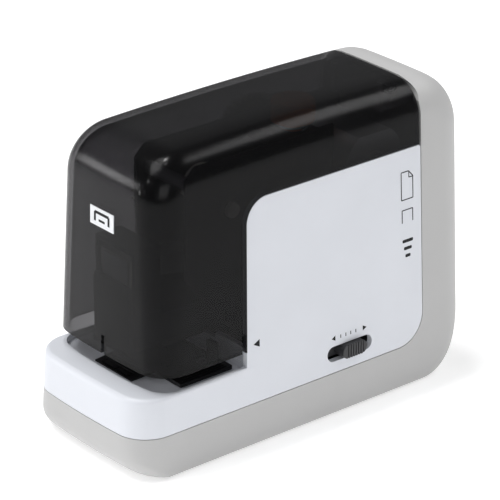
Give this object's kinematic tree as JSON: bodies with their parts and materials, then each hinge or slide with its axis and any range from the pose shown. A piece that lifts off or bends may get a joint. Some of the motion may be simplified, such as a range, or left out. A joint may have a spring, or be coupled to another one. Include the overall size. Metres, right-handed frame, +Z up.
{
  "type": "electric stapler",
  "caption": "Upright desktop electric stapler: open paper throat between a low nose and a hinged smoke cover, depth slider on the side, battery bay underneath.",
  "frame": {"origin": "middle of the bounding box in plan, at the height of the feet", "axes": "+Z up, nose and paper throat towards -Y, rear towards +Y, the side with the depth slider towards +X"},
  "size_m": [0.0601, 0.1399, 0.1053],
  "materials": {
    "rear_bottom_shell": "fine textured",
    "white_housing": "fine textured",
    "smoke_cover": "clear smoke tint",
    "label_plate": "satin",
    "cover_hinge_pin_left": "satin",
    "cover_hinge_pin_right": "satin",
    "battery_door": "fine textured",
    "battery_holder": "matte",
    "battery_contact_top": "bright",
    "battery_contact_door": "bright",
    "dc_jack": "satin",
    "control_board": "solder mask",
    "capacitor": "sleeve",
    "paper_switch": "matte",
    "sensor_lever": "satin",
    "depth_slider": "satin",
    "clincher_table": "satin black",
    "clinch_wing_left": "ground",
    "clinch_wing_right": "ground",
    "frame_plate_left": "stamped",
    "frame_plate_right": "stamped",
    "frame_spacer_front": "turned",
    "frame_spacer_low": "turned",
    "pivot_shaft": "ground",
    "motor": "plated can",
    "motor_pinion": "cut",
    "reduction_gear_a": "nylon",
    "reduction_gear_b": "nylon",
    "gear_axle_a": "ground",
    "gear_axle_b": "ground",
    "cam_gear": "nylon",
    "drive_arm": "cast and blackened",
    "arm_roller": "ground",
    "driver_housing": "stamped",
    "driver_carrier": "nylon",
    "driver_blade": "ground",
    "magazine_channel": "stamped",
    "magazine_front": "matte",
    "staple_rail": "matte",
    "staple_strip": "bright wire",
    "staple_pusher": "nylon",
    "pusher_spring": "wire",
    "release_button": "orange",
    "button_spring": "wire",
    "button_bridge": "matte",
    "foot_1": "matte",
    "base_screw_1": "cross-head",
    "foot_2": "matte",
    "base_screw_2": "cross-head",
    "foot_3": "matte",
    "base_screw_3": "cross-head",
    "foot_4": "matte",
    "base_screw_4": "cross-head",
    "battery_cell_1": "plain sleeve",
    "battery_cell_2": "plain sleeve",
    "battery_cell_3": "plain sleeve",
    "battery_cell_4": "plain sleeve",
    "battery_cell_5": "plain sleeve",
    "battery_cell_6": "plain sleeve"
  },
  "bodies": {
    "base": {"rear_bottom_shell": "rear_bottom_shell", "white_housing": "white_housing", "cover_hinge_pin_left": "cover_hinge_pin_left", "cover_hinge_pin_right": "cover_hinge_pin_right", "battery_holder": "battery_holder", "battery_contact_top": "battery_contact_top", "dc_jack": "dc_jack", "control_board": "control_board", "capacitor": "capacitor", "paper_switch": "paper_switch", "clincher_table": "clincher_table", "frame_plate_left": "frame_plate_left", "frame_plate_right": "frame_plate_right", "frame_spacer_front": "frame_spacer_front", "frame_spacer_low": "frame_spacer_low", "pivot_shaft": "pivot_shaft", "motor": "motor", "gear_axle_a": "gear_axle_a", "gear_axle_b": "gear_axle_b", "button_bridge": "button_bridge", "button_spring": "button_spring", "foot_1": "foot_1", "foot_2": "foot_2", "foot_3": "foot_3", "foot_4": "foot_4", "base_screw_1": "base_screw_1", "base_screw_2": "base_screw_2", "base_screw_3": "base_screw_3", "base_screw_4": "base_screw_4", "battery_cell_1": "battery_cell_1", "battery_cell_2": "battery_cell_2", "battery_cell_3": "battery_cell_3", "battery_cell_4": "battery_cell_4", "battery_cell_5": "battery_cell_5", "battery_cell_6": "battery_cell_6"},
    "cover": {"smoke_cover": "smoke_cover", "label_plate": "label_plate"},
    "battery_door": {"battery_door": "battery_door", "battery_contact_door": "battery_contact_door"},
    "depth_slider": {"depth_slider": "depth_slider"},
    "sensor_lever": {"sensor_lever": "sensor_lever"},
    "cam_gear": {"cam_gear": "cam_gear"},
    "reduction_gear_a": {"reduction_gear_a": "reduction_gear_a"},
    "reduction_gear_b": {"reduction_gear_b": "reduction_gear_b"},
    "motor_pinion": {"motor_pinion": "motor_pinion"},
    "head": {"magazine_channel": "magazine_channel", "driver_housing": "driver_housing", "magazine_front": "magazine_front", "staple_rail": "staple_rail", "staple_strip": "staple_strip", "pusher_spring": "pusher_spring"},
    "staple_pusher": {"staple_pusher": "staple_pusher"},
    "drive_arm": {"drive_arm": "drive_arm", "arm_roller": "arm_roller"},
    "driver": {"driver_carrier": "driver_carrier", "driver_blade": "driver_blade"},
    "release_button": {"release_button": "release_button"},
    "clinch_wing_left": {"clinch_wing_left": "clinch_wing_left"},
    "clinch_wing_right": {"clinch_wing_right": "clinch_wing_right"}
  },
  "joints": [
    {"name": "cover_open", "type": "hinge", "parent": "base", "child": "cover", "pos_m": [0, 0.045, 0.101], "axis": [-1, 0, 0], "range_deg": [0, 65]},
    {"name": "battery_door_open", "type": "hinge", "parent": "base", "child": "battery_door", "pos_m": [0, 0.0219, 0.002], "axis": [-1, 0, 0], "range_deg": [0, 100]},
    {"name": "depth_slide", "type": "slide", "parent": "base", "child": "depth_slider", "axis": [0, 1, 0], "range_m": [-0.005, 0.0025]},
    {"name": "sensor_tilt", "type": "hinge", "parent": "base", "child": "sensor_lever", "pos_m": [0, -0.03, 0.018], "axis": [-1, 0, 0], "range_deg": [0, 18], "stiffness_Nm_per_rad": 0.001, "springref_deg": -17.19},
    {"name": "cam_spin", "type": "hinge", "parent": "base", "child": "cam_gear", "pos_m": [0, -0.02, 0.076], "axis": [1, 0, 0], "continuous": true},
    {"name": "gear_b_spin", "type": "hinge", "parent": "base", "child": "reduction_gear_b", "pos_m": [0, -0.00017, 0.06971], "axis": [1, 0, 0], "continuous": true},
    {"name": "gear_a_spin", "type": "hinge", "parent": "base", "child": "reduction_gear_a", "pos_m": [0, 0.01561, 0.08064], "axis": [1, 0, 0], "continuous": true},
    {"name": "pinion_spin", "type": "hinge", "parent": "base", "child": "motor_pinion", "pos_m": [0, 0.034, 0.08], "axis": [1, 0, 0], "continuous": true},
    {"name": "head_press", "type": "hinge", "parent": "base", "child": "head", "pos_m": [0, 0.014, 0.052], "axis": [1, 0, 0], "range_deg": [0, 3.5], "stiffness_Nm_per_rad": 0.5, "springref_deg": -11.46},
    {"name": "arm_swing", "type": "hinge", "parent": "head", "child": "drive_arm", "pos_m": [0, 0.014, 0.052], "axis": [1, 0, 0], "range_deg": [0, 8.7], "stiffness_Nm_per_rad": 0.2, "springref_deg": -17.19},
    {"name": "driver_slide", "type": "slide", "parent": "head", "child": "driver", "axis": [0, 0, -1], "range_m": [0, 0.0099]},
    {"name": "pusher_back", "type": "slide", "parent": "head", "child": "staple_pusher", "axis": [0, 1, 0], "range_m": [0, 0.0105], "stiffness_N_per_m": 60, "springref_m": -0.01, "deforming": ["pusher_spring"]},
    {"name": "button_press", "type": "slide", "parent": "base", "child": "release_button", "axis": [0, 0, -1], "range_m": [0, 0.0018], "stiffness_N_per_m": 400, "springref_m": -0.001, "deforming": ["button_spring"]},
    {"name": "wing_left_lift", "type": "hinge", "parent": "base", "child": "clinch_wing_left", "pos_m": [-0.0064, -0.0557, 0.02655], "axis": [0, -1, 0], "range_deg": [0, 8]},
    {"name": "wing_right_lift", "type": "hinge", "parent": "base", "child": "clinch_wing_right", "pos_m": [0.0064, -0.0557, 0.02655], "axis": [0, 1, 0], "range_deg": [0, 8]}
  ],
  "couplings": [
    {"joint": "gear_b_spin", "follows": "cam_spin", "ratio": -3.3333},
    {"joint": "gear_a_spin", "follows": "cam_spin", "ratio": 10},
    {"joint": "pinion_spin", "follows": "cam_spin", "ratio": -36},
    {"joint": "driver_slide", "follows": "arm_swing", "m_per_rad": 0.06503},
    {"joint": "wing_right_lift", "follows": "wing_left_lift", "ratio": 1}
  ]
}
